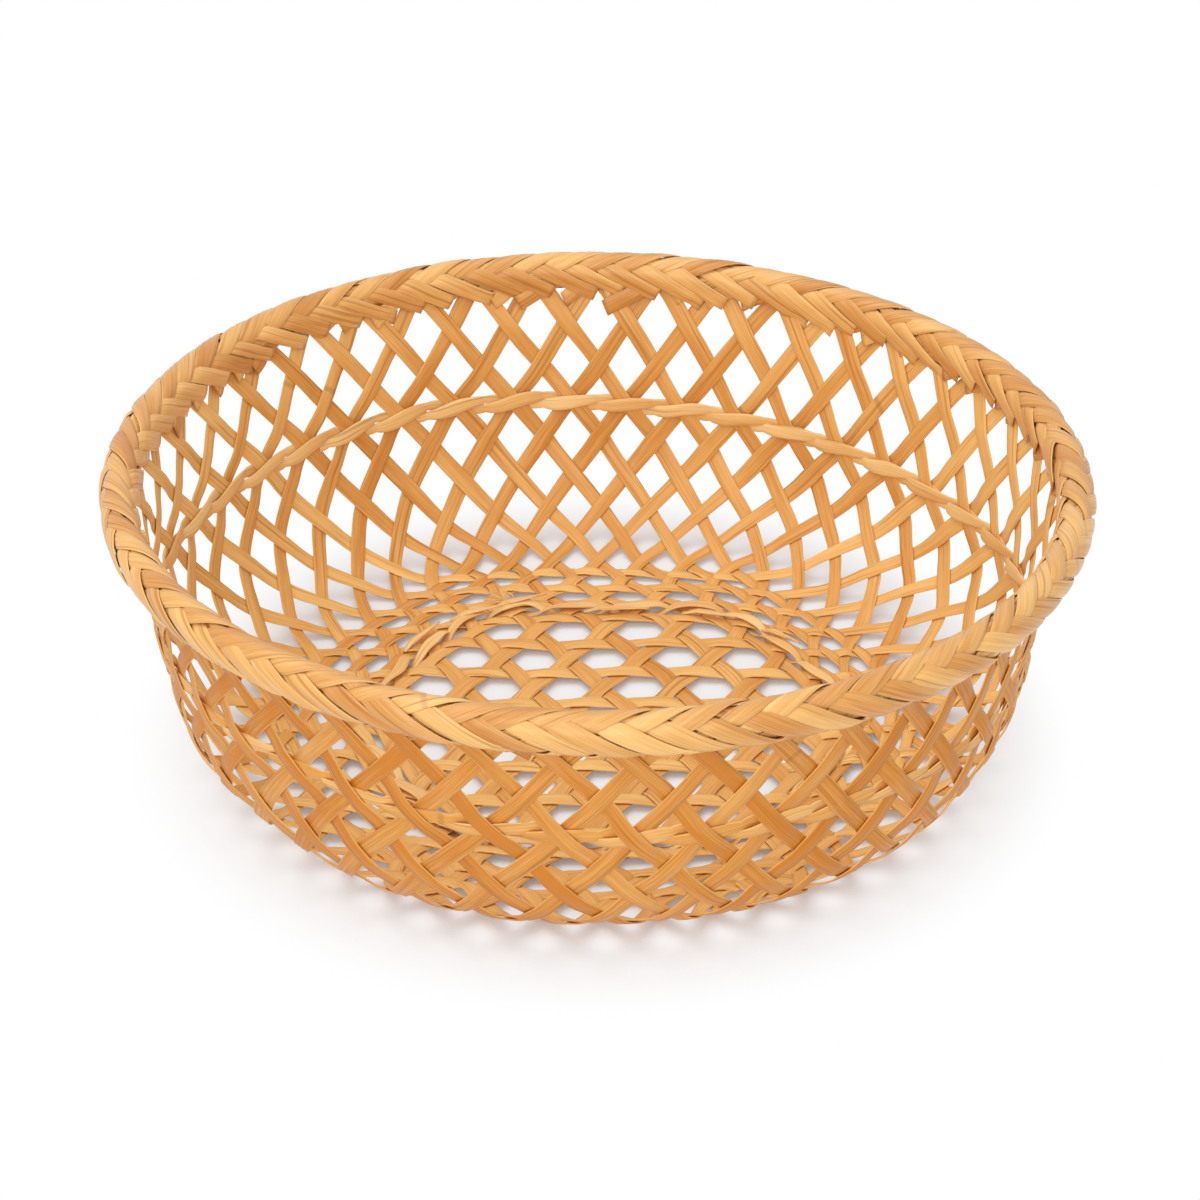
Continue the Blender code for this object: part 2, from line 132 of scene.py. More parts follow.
# Plait of the rim: place and lean of its oval section, and slope of its strips
PLAIT_SHIFT = 1.8 * MM                     # from the middle of the wall outwards
PLAIT_LEAN = math.radians(8)               # of the oval's long axis, outwards
PLAIT_SLOPE = math.radians(27)             # of a strip against the rim's direction
PLAIT_MIDDLE = -1.0 * MM                   # way round the section to the middle of the floats
PLAIT_ENDS = (-13.4 * MM, 16.2 * MM)       # ways round the section to the strips' ends
PLAIT_STATIONS = 46
PLAIT_EASE = 0.34                          # half the way from over to under, in strips
PLAIT_CROWN = 0.22 * MM
PLAIT_HANG = -10.8 * MM                    # way round the section where an inner end goes straight
PLAIT_TUCK = (12.2 * MM, 4 * MM, 1.5 * MM)  # of an outer end: its start, length and depth
PLAIT_FLOAT = 3                            # strips that a strip passes over, and then under
PLAIT_TIPS = (1.2, 0.95)                   # shape and mm of the gamma law of the inner tips
# Spreads of the plait's strips: ends, starts and lift in mm, width and slope as shares
PLAIT_PLAY = {"ends": 0.7, "starts": 0.75, "lift": 0.2, "width": 0.07, "slope": 0.03}
PLAIT_SEED = 31
SECTION_SAMPLES = 721
SECTION_RISE = 2.5 * MM                    # from the hoops' lower edge to the section's middle
HOOP_HALF_SIZE = (3.8 * MM, 5.25 * MM)     # of the oval that both hoops are cut from
HOOP_CUTS = {"inner_hoop": (-3.6 * MM, -2.75 * MM), "outer_hoop": (-0.85 * MM, 3.75 * MM)}
HOOP_STATIONS = 168
HOOP_CORNERS = 9                           # on the top and on the bottom of a hoop's section
HOOP_TONE = 0.3

# Twined rings
STRAND_STATIONS = 16                       # from one crossing to the next
STRAND_CREST = 2.0                         # flatness of a strand over and under a crossing
STRAND_WIDTHS = (0.58, 0.42, 0.8)          # least share, what a crossing adds, cosine's power
STRAND_TILT = math.radians(8)
# Length of a wave and amount of the unevenness of a strand's middle, tilt and width
STRAND_WANDER = (30 * MM, 0.35 * MM)
STRAND_TILT_PLAY = (40 * MM, 0.07)
STRAND_WIDTH_PLAY = (24 * MM, 0.08)
STRAND_SEED = 510
STRAND_TONES = (0.3, 0.7)
NOISE_RADIUS = 130 * MM                    # for the way round a ring that unevenness runs along
FLOOR_RING_LIFTS = (2.1 * MM, 1.85 * MM)   # of a strand's middle, over and under a crossing
WAIST_RING_LIFTS = (1.35 * MM, 0.28 * MM)
FLOOR_RING_CORNER = 0.13 * MESH_SPACING    # outwards, where the ring is furthest from the middle
# Loose strand ends on the floor ring: x and y in mm, heading in degrees, length in mm
LOOSE_ENDS = ((-53, 59.5, 22, 19), (-8, 66.5, -4, 20), (22, 65, -18, 19),
              (-40, 66, 28, 21), (49, 55, -38, 18), (-66, 37, 62, 19))
LOOSE_SHAPE = (3.6 * MM, 1.2 * MM, -0.25)  # width, rise, and curl in radians
LOOSE_STATIONS = 12
LOOSE_LEVEL = 2.6 * MM                     # over the floor's middle surface
LOOSE_DIP, LOOSE_DIP_END = 1.8 * MM, 0.3   # depth of the start, and share of the length
LOOSE_WIDEST = 0.35                        # share of the length
LOOSE_FLATNESS = 0.14                      # thickness as a share of the width
LOOSE_TONES = (0.4, 1.0)
LOOSE_SEED = 77
FRAYED_FIBRES = 18
TUFT_PLACE = (-30 * MM, 72 * MM)

# View of the photograph, and its lamps: place, size, share of the power
CAMERA_PLACE = (0, -0.77335, 0.50561)
CAMERA_AIM = (0, 0, 0.0435)
CAMERA_LENS = 87.4
CAMERA_SHIFT = 0.0017
LAMP_AIM = (0, 0, 0.04)
LAMPS = {"key_lamp": ((-0.35, 0.1, 1.4), 1.3, 1.0), "fill_lamp": ((-0.2, -1.3, 0.8), 1.3, 1.35)}
FLOOR_HALF_SIDE = 4.0


def hex_colour(code):
    """Linear colour of an sRGB hex code, by the sRGB curve."""
    parts = np.array([int(code[place:place + 2], 16) for place in (1, 3, 5)]) / 255
    linear = np.where(parts <= 0.04045, parts / 12.92, ((parts + 0.055) / 1.055) ** 2.4)
    return (*(float(part) for part in linear), 1.0)


def smooth(share):
    """Cubic step: 0 below 0, 1 above 1, and level at both ends."""
    share = np.clip(share, 0, 1)
    return share * share * (3 - 2 * share)


def ramp(value, start, length):
    """Cubic step from 0 at the start to 1 a length further on, or back where it is negative."""
    return smooth((value - start) / length)


def hand_noise(seed, places, reach, amount):
    """Smooth unevenness of hand work: half an amount times the sum of four sine waves.

    Their lengths are 0.7 to 1.9 times the reach, and their starts are seeded.
    """
    random = np.random.default_rng(seed)
    waves = 2 * math.pi / (reach * random.uniform(0.7, 1.9, 4))
    starts = random.uniform(0, 2 * math.pi, 4)
    return amount / 2 * np.sin(places[..., None] * waves + starts).sum(axis=-1)


def bowl_outline(arc):
    """Radius, height and slope of the middle surface: flat floor, round heel, leaning wall."""
    slope = np.clip((arc - FLOOR_RADIUS) / HEEL_RADIUS, 0, WALL_ANGLE)
    up_the_wall = np.maximum(arc - FLOOR_RADIUS - HEEL_RADIUS * WALL_ANGLE, 0)
    radius = (np.minimum(arc, FLOOR_RADIUS) + HEEL_RADIUS * np.sin(slope)
              + up_the_wall * math.cos(WALL_ANGLE))
    height = HEEL_RADIUS * (1 - np.cos(slope)) + up_the_wall * math.sin(WALL_ANGLE)
    return radius, height, slope


def arc_at_height(height):
    """Arc of a place on the straight part of the wall."""
    heel_height = HEEL_RADIUS * (1 - math.cos(WALL_ANGLE))
    return FLOOR_RADIUS + HEEL_RADIUS * WALL_ANGLE + (height - heel_height) / math.sin(WALL_ANGLE)


WAIST_ARC = arc_at_height(WAIST_HEIGHT)
END_ARC = arc_at_height(WALL_HEIGHT)


def surface_frame(arc, azimuth):
    """Point of the middle surface, its outward, round and inner normal directions.

    Outwards runs up the wall along the outline, round runs along the azimuth, and the normal
    is their cross product, which points into the bowl.
    """
    radius, height, slope = bowl_outline(arc)
    cosine, sine = np.cos(azimuth), np.sin(azimuth)
    point = np.stack([radius * cosine, radius * sine, STANDING + height], axis=-1)
    outward = np.stack([np.cos(slope) * cosine, np.cos(slope) * sine, np.sin(slope)], axis=-1)
    around = np.stack([-sine, cosine, np.zeros_like(cosine)], axis=-1)
    return point, outward, around, np.cross(outward, around)


def hand_play(points):
    """Unevenness of the hand-woven basket, alike for all pieces that lie together.

    A sum of slow sine waves over the place moves each point by up to about 1.5 mm, and fades
    out under the rim and on the ground. The floor's mesh is drawn a little wider from side to
    side and lies nearer to the front. The rows of the wall rise and fall round the basket by a
    sine of the azimuth, most at the waist. The rows of the heel are drawn in, most at the
    back, and the heel is full, most at the front. The rim stands out and up a little from the
    wall, and is higher on the left. What would sink into the ground lies flat on it.
    """
    random = np.random.default_rng(HAND_SEED)
    moved = np.array(points)
    height = points[..., 2]
    radius = np.hypot(points[..., 0], points[..., 1])
    right, back = points[..., 0] / radius, points[..., 1] / radius
    fade = ramp(height, *HAND_FADE)
    lifted = ramp(height, *HAND_LIFT)
    for _ in range(HAND_WAVES):
        wave = random.normal(size=3)
        wave *= 2 * math.pi / (random.uniform(38, 120) * MM) / np.linalg.norm(wave)
        sway = random.normal(size=3) * HAND_SWAY * MM
        size = fade * np.sin(points @ wave + random.uniform(0, 2 * math.pi))
        moved += size[..., None] * sway * np.stack([fade, fade, lifted], axis=-1)

    floor = 1 - ramp(radius, *FLOOR_END)
    moved[..., 0] += floor * (FLOOR_SHIFT[0] + FLOOR_STRETCH * points[..., 0])
    moved[..., 1] += floor * FLOOR_SHIFT[1]

    slope = np.arctan2(radius - FLOOR_RADIUS, HEEL_RADIUS - height + STANDING)
    slope = np.clip(slope, 0, WALL_ANGLE)
    arc = np.where(radius < FLOOR_RADIUS, radius, FLOOR_RADIUS + HEEL_RADIUS * slope)
    slide = (ROW_SLIDE[0] + ROW_SLIDE[1] * right + ROW_SLIDE[2] * back) * MM
    slide = slide * ramp(height, *ROWS_FROM) * (1 - ramp(height, *ROWS_TO))
    close = ramp(arc, *HEEL_FROM) * (1 - ramp(arc, *HEEL_TO))
    close = close * (1 - ramp(height, *HEEL_TOP))
    slide = slide + (HEEL_SLIDE[0] + HEEL_SLIDE[1] * back) * MM * close
    full = HEEL_FULLNESS[0] + HEEL_FULLNESS[1] * right + HEEL_FULLNESS[2] * back
    full = full * MM * (1 - HEEL_SIDES * right ** 2) * ramp(radius, *FULL_RADIUS)
    full = full * ramp(slope, *FULL_FROM) * (1 - ramp(slope, *FULL_TO))
    top = ramp(height, *RIM_FROM)
    outset = (RIM_OUTSET[0] + RIM_OUTSET[1] * (2 * right ** 2 - 1)) * MM
    outwards = slide * np.cos(slope) + full * np.sin(slope) + top * outset
    moved[..., 0] += outwards * right
    moved[..., 1] += outwards * back
    moved[..., 2] += slide * np.sin(slope) - full * np.cos(slope) + top * RIM_RISE
    moved[..., 2] -= RIM_TILT * points[..., 0] * ramp(height, *TILT_FROM)
    moved[..., 2] = np.maximum(moved[..., 2], 0)
    return moved


def lattice_turn(arc):
    """Azimuth that a strip of the wall's lattice has gained, which falls as it climbs."""
    above = np.maximum(arc - WAIST_ARC, 0) / (END_ARC - WAIST_ARC)
    below = np.maximum(WAIST_ARC - arc, 0) / bowl_outline(WAIST_ARC)[0]
    return (WAIST_LEAD - UPPER_TURN * above) * STEP + math.tan(LOWER_LEAN) * below


def drawn_in(radius):
    """Arc of a place of the open mesh: the rows lie closer outside the floor ring."""
    return np.minimum(radius, CLOSE_START) + CLOSE_WEAVE_SHARE * np.maximum(radius - CLOSE_START, 0)


def strip_course(row):
    """Arc and azimuth along a strip: a chord of the floor that turns into the wall's lattice."""
    offset = (row + 0.5) * MESH_SPACING
    reach = CLOSE_START + (END_ARC - CLOSE_START) / CLOSE_WEAVE_SHARE
    half_run = math.sqrt(reach ** 2 - offset ** 2)
    run = np.linspace(-half_run, half_run, COURSE_SAMPLES + 1)
    arc = drawn_in(np.hypot(run, offset))
    chord = np.arctan2(offset, np.abs(run))
    lattice = lattice_turn(arc) + (row + 0.5) * STEP
    azimuth = chord + ramp(arc, TURN_START, TURN_END - TURN_START) * (lattice - chord)
    return arc, np.where(run < 0, math.pi - azimuth, azimuth)


def meetings(first, second):
    """Places, as fractional sample numbers, where two lines of the flat map cross."""
    step, other_step = np.diff(first, axis=0)[:, None], np.diff(second, axis=0)[None]
    apart = second[None, :-1] - first[:-1, None]
    turn = np.cross(step, other_step)
    turn = np.where(turn == 0, np.inf, turn)
    share, other_share = np.cross(apart, other_step) / turn, np.cross(apart, step) / turn
    meets = (share >= 0) & (share < 1) & (other_share >= 0) & (other_share < 1)
    at, other_at = np.nonzero(meets & np.isfinite(turn))
    return at + share[at, other_at], other_at + other_share[at, other_at]


def heading(course, places):
    """Unit direction of a course, outwards and round, at fractional sample numbers."""
    arcs, azimuths = course
    index = np.minimum(places.astype(int), len(arcs) - 2)
    middle = (arcs[index] + arcs[index + 1]) / 2
    outward = arcs[index + 1] - arcs[index]
    around = (azimuths[index + 1] - azimuths[index]) * bowl_outline(middle)[0]
    return np.stack([outward, around], axis=-1) / np.hypot(outward, around)[:, None]


def strip_crossings(courses, row):
    """Places, over or under signs and slants of the crossings of a strip, in order along it.

    Over and under take turns, and start at the middle of the floor, where a strip lies over
    the next direction of the mesh and under the one after it. The slant is the cotangent of
    the angle between the two strips.
    """
    flat = [np.stack([arc * np.cos(azimuth), arc * np.sin(azimuth)], axis=1)
            for arc, azimuth in courses]
    places, turns, slants = [], [], []
    for other in range(STRIPS_PER_END):
        for turn in range(ENDS):
            if other == row and turn == 0:
                continue
            cosine, sine = math.cos(turn * SIXTH), math.sin(turn * SIXTH)
            crossed = flat[other] @ np.array([[cosine, sine], [-sine, cosine]])
            own, far = meetings(flat[row], crossed)
            along, across = heading(courses[row], own), heading(courses[other], far)
            slants.append((along * across).sum(axis=1) / np.cross(along, across))
            places.append(own)
            turns.append(np.full(len(own), turn))
    places, turns, slants = (np.concatenate(part) for part in (places, turns, slants))
    arcs = np.interp(places, np.arange(COURSE_SAMPLES + 1), courses[row][0])
    order = np.argsort(places)
    order = order[arcs[order] < END_ARC - HOOP_FOOT_DROP]
    places, turns, slants = places[order], turns[order], slants[order]
    from_middle = np.where(turns % 3 > 0, np.abs(places - COURSE_SAMPLES / 2), np.inf)
    nearest = int(np.argmin(from_middle))
    first = 1 if turns[nearest] % 3 == 1 else -1
    signs = first * (-1.0) ** np.abs(np.arange(len(places)) - nearest)
    return places, signs, slants


def between_crossings(place, crossing_places, values):
    """A value that is level near each crossing and eases over to the next one between them."""
    after = np.clip(np.searchsorted(crossing_places, place), 1, len(values) - 1)
    start, end = crossing_places[after - 1], crossing_places[after]
    share = (place - start) / (end - start)
    eased = ramp(share, LEVEL_SHARE, 1 - 2 * LEVEL_SHARE)
    return values[after - 1] + (values[after] - values[after - 1]) * eased


def skin_mesh(name, points, along, across, tones, closed=False):
    """A closed skin over ribbons, given as ribbon, station, section point and xyz.

    Quads join neighbouring stations and section points, and one face closes each end. The UV
    map holds the length along the strip and the way across it in metres. Three attributes hold
    the share from the middle to the edge, 1 on the upper side, which faced the hollow of the
    cane, and the tone of each ribbon. The material paints the upper side paler: partly its own
    paler colour, partly painted light, which on the mesh strips lights the inside of the bowl
    and shades its outside.
    """
    ribbons, stations, corners = points.shape[:3]
    spans = stations if closed else stations - 1
    first = np.arange(ribbons * stations).reshape(ribbons, stations, 1) * corners
    corner = np.arange(corners)
    here, there = first[:, :spans], np.roll(first, -1, axis=1)[:, :spans]
    after = np.roll(corner, -1)
    quads = np.stack([here + corner, there + corner, there + after, here + after], axis=-1)
    faces = quads.reshape(-1, 4).tolist()
    if not closed:
        faces += (first[:, 0] + corner).reshape(-1, corners).tolist()
        faces += (first[:, -1] + corner[::-1]).reshape(-1, corners).tolist()
    mesh = bpy.data.meshes.new(name)
    mesh.from_pydata(points.reshape(-1, 3), [], faces)
    mesh.shade_smooth()

    run = np.broadcast_to(along[..., None], points.shape[:3])
    way = np.broadcast_to(across, points.shape[:3])
    far_run = np.roll(run, -1, axis=1)
    far_run = np.where(far_run < run, run + np.abs(run[:, 1:2] - run[:, :1]), far_run)[:, :spans]
    near_run, near_way = run[:, :spans], way[:, :spans]
    far_way = np.roll(way, -1, axis=1)[:, :spans]
    u = np.stack([near_run, far_run, far_run, near_run], axis=-1)
    v = np.stack([near_way, far_way, np.roll(far_way, -1, axis=2), np.roll(near_way, -1, axis=2)],
                 axis=-1)
    uv = np.stack([u, v], axis=-1).reshape(-1, 2)
    if not closed:
        ends = np.concatenate([np.stack([run[:, 0], way[:, 0]], axis=-1).reshape(-1, 2),
                               np.stack([run[:, -1], way[:, -1]], axis=-1)[:, ::-1].reshape(-1, 2)])
        uv = np.concatenate([uv, ends])
    layer = mesh.uv_layers.new(name="along_and_across")
    layer.data.foreach_set("uv", uv.astype(np.float32).ravel())
    edge = np.broadcast_to(np.abs(STRIP_SECTION[:, 0]) * 2, points.shape[:3])
    # the upper side, which the material paints paler: partly its own colour, partly painted light
    pale_side_and_painted_light = np.broadcast_to(STRIP_SECTION[:, 1] > -0.1, points.shape[:3])
    for title, values in (("edge", edge), ("pale_side_and_painted_light", pale_side_and_painted_light),
                          ("tone", np.broadcast_to(tones[:, None, None], points.shape[:3]))):
        attribute = mesh.attributes.new(title, 'FLOAT', 'POINT')
        attribute.data.foreach_set("value", np.ascontiguousarray(values, dtype=np.float32).ravel())
    return mesh


def hoop_mesh(name, points, around, up):
    """A ring of quads over a turned skin, with the length and height as its UV map.

    Edge and tone have one plain value, so a hoop is of one tone and shows no cut edge.
    """
    stations, corners = points.shape[:2]
    station, corner = np.meshgrid(np.arange(stations), np.arange(corners), indexing="ij")
    there, after = (station + 1) % stations, (corner + 1) % corners
    quads = np.stack([station * corners + corner, there * corners + corner,
                      there * corners + after, station * corners + after], axis=-1)
    mesh = bpy.data.meshes.new(name)
    mesh.from_pydata(points.reshape(-1, 3), [], quads[..., ::-1].reshape(-1, 4).tolist())
    mesh.shade_smooth()
    length = np.append(around, 2 * around[-1] - around[-2])
    u = np.stack([length[station], length[station + 1], length[station + 1], length[station]],
                 axis=-1)
    v = np.stack([up, up, np.roll(up, -1, axis=1), np.roll(up, -1, axis=1)], axis=-1)
    layer = mesh.uv_layers.new(name="along_and_across")
    uv = np.stack([u, v], axis=-1)[:, :, ::-1]
    layer.data.foreach_set("uv", uv.astype(np.float32).ravel())
    tones = np.full(stations * corners, HOOP_TONE, dtype=np.float32)
    for title in ("edge", "tone"):
        attribute = mesh.attributes.new(title, 'FLOAT', 'POINT')
        attribute.data.foreach_set("value", tones)
    return mesh


def add_piece(name, mesh, material, slot, *nodes):
    """Puts a finished mesh into the scene in place of CAD nodes."""
    mesh.materials.append(material)
    piece = bpy.data.objects.new(name, mesh)
    bpy.context.scene.collection.objects.link(piece)
    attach(piece, "root")
    if nodes:
        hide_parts(*nodes)
    return piece


def strip_width_at(arc, settings):
    """Strips are shaved narrower where the rows draw closer between floor ring and wall."""
    drawn = ramp(arc, *NARROWING) * (1 - ramp(arc, *WIDENING))
    return settings.strip_width + drawn * (settings.close_strip_width - settings.strip_width)


def woven_strip(course, crossings, turn, seed, settings):
    """Ribbon along a course, level on each crossing and eased over to the next.

    Stations along it carry the strip's outline across. The lift of a point is that of the
    place along the strip where the line through it along the crossing strip meets the middle
    of this one, so the two strips lie flat on each other.
    """
    places, signs, slants = crossings
    samples = np.arange(COURSE_SAMPLES + 1)
    point = surface_frame(*course)[0]
    length = np.concatenate([[0], np.cumsum(np.linalg.norm(np.diff(point, axis=0), axis=1))])
    crossed = np.interp(places, samples, length)
    arcs = np.interp(places, samples, course[0])

    overlap = strip_width_at(arcs, settings) / 2 * np.hypot(1, slants)
    spans = np.diff(crossed)
    spans = np.minimum(np.append(spans[0], spans), np.append(spans, spans[-1]))
    share = (overlap / spans - LEVEL_SHARE) / (1 - 2 * LEVEL_SHARE)
    kept = np.clip(1 - 2 * smooth(share), LEAST_ROOM, 1)
    lifts = signs * (settings.strip_thickness + settings.strip_air) / 2 / kept
    # the waist ring's outer strand passes between the two strips of a crossing
    under_ring = (np.abs(arcs - WAIST_ARC) < WAIST_REACH) & (signs < 0)
    lifts = np.where(under_ring, -settings.waist_lift, lifts)

    stations = int(length[-1] / STATION_SPACING)
    run = np.linspace(0, length[-1], stations)
    place = np.interp(run, length, samples)
    arc, azimuth = (np.interp(place, samples, part) for part in course)
    azimuth = azimuth + turn * SIXTH
    middle, outward, around, normal = surface_frame(arc, azimuth)
    along = np.gradient(middle, axis=0)
    along /= np.linalg.norm(along, axis=1)[:, None]
    leftward = np.cross(normal, along)

    wander = hand_noise(seed, run, *STRIP_WANDER)[:, None]
    width = strip_width_at(arc, settings) * (1 + hand_noise(seed + 1, run, *STRIP_WIDTH_PLAY))
    across = STRIP_SECTION[:, 0] * width[:, None]
    thickness = STRIP_SECTION[:, 1] * settings.strip_thickness
    slant = between_crossings(run, crossed, slants)[:, None]
    lift = between_crossings(run[:, None] - (across + wander) * slant, crossed, lifts) + thickness
    points = (middle[:, None] + leftward[:, None] * (across + wander)[..., None]
              + normal[:, None] * lift[..., None])
    return hand_play(points), run, across


def add_node(tree, kind, inputs=None, **settings):
    """Adds a node. An input is a constant, or a socket that is linked to it."""
    node = tree.nodes.new(kind)
    for title, value in settings.items():
        setattr(node, title, value)
    for socket, value in (inputs or {}).items():
        if isinstance(value, bpy.types.NodeSocket):
            tree.links.new(value, node.inputs[socket])
        else:
            node.inputs[socket].default_value = value
    return node


def fibre_bamboo(name, light, dark, edge_tone, roughness, gloss):
    """Split bamboo, shaved flat by hand with its fibres running along the strip.

    The eye sees fine straight fibres of two tones, some 0.4 mm apart, slow patches of ripe
    and pale cane, a cut edge of another tone, and now and then the ring of a joint. The upper
    side of a strip is painted paler than the lower one: partly its own paler colour, partly
    painted light, which on the mesh strips lights the inside of the bowl and shades its
    outside. The surface has a soft waxy gloss, uneven along the fibres. The scales of the
    patterns are waves for each metre along and across the strip.
    """
    material = bpy.data.materials.new(name)
    material.use_nodes = True
    tree = material.node_tree
    shader = tree.nodes["Principled BSDF"]
    place = add_node(tree, "ShaderNodeUVMap", uv_map="along_and_across").outputs["UV"]
    tone = add_node(tree, "ShaderNodeAttribute", attribute_name="tone").outputs["Fac"]
    edge = add_node(tree, "ShaderNodeAttribute", attribute_name="edge").outputs["Fac"]
    pale_side_and_painted_light = add_node(tree, "ShaderNodeAttribute", attribute_name="pale_side_and_painted_light").outputs["Fac"]

    # every strip takes its own piece of the pattern
    apart = add_node(tree, "ShaderNodeCombineXYZ", {"X": tone, "Y": tone, "Z": tone})
    moved = add_node(tree, "ShaderNodeVectorMath", {0: place, 1: apart.outputs[0]})
    fibre_place = add_node(tree, "ShaderNodeMapping",
                           {"Vector": moved.outputs[0], "Scale": (60, 2400, 1)})
    fibres = add_node(tree, "ShaderNodeTexNoise",
                      {"Vector": fibre_place.outputs[0], "Scale": 1.0, "Detail": 3.0,
                       "Roughness": 0.62})
    patch_place = add_node(tree, "ShaderNodeMapping",
                           {"Vector": moved.outputs[0], "Scale": (22, 240, 1)})
    patches = add_node(tree, "ShaderNodeTexNoise",
                       {"Vector": patch_place.outputs[0], "Scale": 1.0, "Detail": 2.0})
    ripe = add_node(tree, "ShaderNodeMath", {0: patches.outputs["Fac"], 1: 0.55, 2: 0.0},
                    operation='MULTIPLY_ADD')
    grain = add_node(tree, "ShaderNodeMath",
                     {0: fibres.outputs["Fac"], 1: 0.75, 2: ripe.outputs[0]},
                     operation='MULTIPLY_ADD')
    own = add_node(tree, "ShaderNodeMath", {0: tone, 1: 0.4, 2: grain.outputs[0]},
                   operation='MULTIPLY_ADD')
    # the upper side, which faced the hollow of the cane, is paler than the skin side: partly its
    # own colour, partly painted light, which on the mesh strips lights the inside of the bowl and
    # shades its outside
    sided = add_node(tree, "ShaderNodeMath", {0: pale_side_and_painted_light, 1: 0.3, 2: own.outputs[0]},
                     operation='MULTIPLY_ADD')
    shade = add_node(tree, "ShaderNodeMapRange",
                     {"Value": sided.outputs[0], "From Min": 0.72, "From Max": 1.5})
    body = add_node(tree, "ShaderNodeMix", {0: shade.outputs[0], 6: hex_colour(dark),
                                            7: hex_colour(light)}, data_type='RGBA')
    # open pores between bundles of fibres: thin dark lines, some 1 mm apart
    pore_place = add_node(tree, "ShaderNodeMapping",
                          {"Vector": moved.outputs[0], "Scale": (16, 1000, 1)})
    pores = add_node(tree, "ShaderNodeTexNoise",
                     {"Vector": pore_place.outputs[0], "Scale": 1.0, "Detail": 1.0})
    lines = add_node(tree, "ShaderNodeMapRange",
                     {"Value": pores.outputs["Fac"], "From Min": 0.4, "From Max": 0.31,
                      "To Max": 0.5})
    body = add_node(tree, "ShaderNodeMix", {0: lines.outputs[0], 6: body.outputs[2],
                                            7: hex_colour("#A8621A")}, data_type='RGBA')
    # the cut edge, about 0.4 mm wide
    rim = add_node(tree, "ShaderNodeMapRange",
                   {"Value": edge, "From Min": 0.84, "From Max": 0.98, "To Max": 0.4})
    edged = add_node(tree, "ShaderNodeMix", {0: rim.outputs[0], 6: body.outputs[2],
                                             7: hex_colour(edge_tone)}, data_type='RGBA')
    # the ring of a joint of the cane, every 900 mm, about 1.5 mm wide
    split = add_node(tree, "ShaderNodeSeparateXYZ", {0: moved.outputs[0]})
    joint = add_node(tree, "ShaderNodeMath", {0: split.outputs["X"], 1: 0.45, 2: 0.0},
                     operation='PINGPONG')
    ring = add_node(tree, "ShaderNodeMapRange",
                    {"Value": joint.outputs[0], "From Min": 0.0012, "From Max": 0.0004,
                     "To Max": 0.3})
    jointed = add_node(tree, "ShaderNodeMix", {0: ring.outputs[0], 6: edged.outputs[2],
                                               7: hex_colour("#8A5420")}, data_type='RGBA')
    tree.links.new(jointed.outputs[2], shader.inputs["Base Color"])
    worn = add_node(tree, "ShaderNodeMapRange",
                    {"Value": fibres.outputs["Fac"], "From Min": 0.3, "From Max": 0.7,
                     "To Min": roughness + 0.1, "To Max": roughness - 0.06})
    tree.links.new(worn.outputs[0], shader.inputs["Roughness"])
    relief = add_node(tree, "ShaderNodeBump",
                      {"Height": grain.outputs[0], "Strength": 0.5, "Distance": 0.00008})
    tree.links.new(relief.outputs[0], shader.inputs["Normal"])
    shader.inputs["IOR"].default_value = 1.5
    shader.inputs["Specular IOR Level"].default_value = 0.3
    shader.inputs["Coat Weight"].default_value = gloss
    shader.inputs["Coat Roughness"].default_value = 0.28
    return material


def twined_strand(arcs, azimuths, strand, heights, settings, seed):
    """One of two strands that wind round each other along a ring of crossings.

    Its angle grows by half a turn from crossing to crossing. The cosine of the angle, flattened
    at its crests, gives the height over or under the crossing, and the sine gives the way
    across the ring, down on the far side of a crossing. The strand is broad where it passes a
    crossing, shaved narrower where the two change places, and tilts a little on its way over.
    """
    passes = len(arcs)
    stations = passes * STRAND_STATIONS
    number = np.arange(stations) * passes / stations
    closed_azimuths = np.append(azimuths, azimuths[0] + 2 * math.pi)
    azimuth = np.interp(number, np.arange(passes + 1), closed_azimuths)
    whole = number.astype(int)
    ease = smooth(number - whole)
    arc = arcs[whole] * (1 - ease) + arcs[(whole + 1) % passes] * ease
    angle = math.pi * (number + strand)
    crest = np.tanh(STRAND_CREST * np.cos(angle)) / math.tanh(STRAND_CREST)
    above, below = heights
    height = np.where(crest > 0, crest * above, crest * below)
    around_run = azimuth * NOISE_RADIUS
    sway = hand_noise(seed, around_run, *STRAND_WANDER) - settings.twine_sway * np.sin(angle)
    middle, outward, around, normal = surface_frame(arc, azimuth)
    middle = middle + outward * sway[:, None] + normal * height[:, None]
    along = np.roll(middle, -1, axis=0) - np.roll(middle, 1, axis=0)
    along /= np.linalg.norm(along, axis=1)[:, None]
    leftward = np.cross(normal, along)
    leftward /= np.linalg.norm(leftward, axis=1)[:, None]
    upward = np.cross(along, leftward)
    tilt = STRAND_TILT * np.sin(angle) + hand_noise(seed + 3, around_run, *STRAND_TILT_PLAY)
    side = leftward * np.cos(tilt)[:, None] + upward * np.sin(tilt)[:, None]
    top = upward * np.cos(tilt)[:, None] - leftward * np.sin(tilt)[:, None]
    least, more, power = STRAND_WIDTHS
    width = settings.twine_width * (least + more * np.abs(np.cos(angle)) ** power)
    width = width * (1 + hand_noise(seed + 5, around_run, *STRAND_WIDTH_PLAY))
    across = STRIP_SECTION[:, 0] * width[:, None]
    points = (middle[:, None] + side[:, None] * across[..., None]
              + top[:, None] * (STRIP_SECTION[:, 1] * settings.twine_thickness)[None, :, None])
    run = np.concatenate([[0], np.cumsum(np.linalg.norm(np.diff(middle, axis=0), axis=1))])
    return hand_play(points), run, across


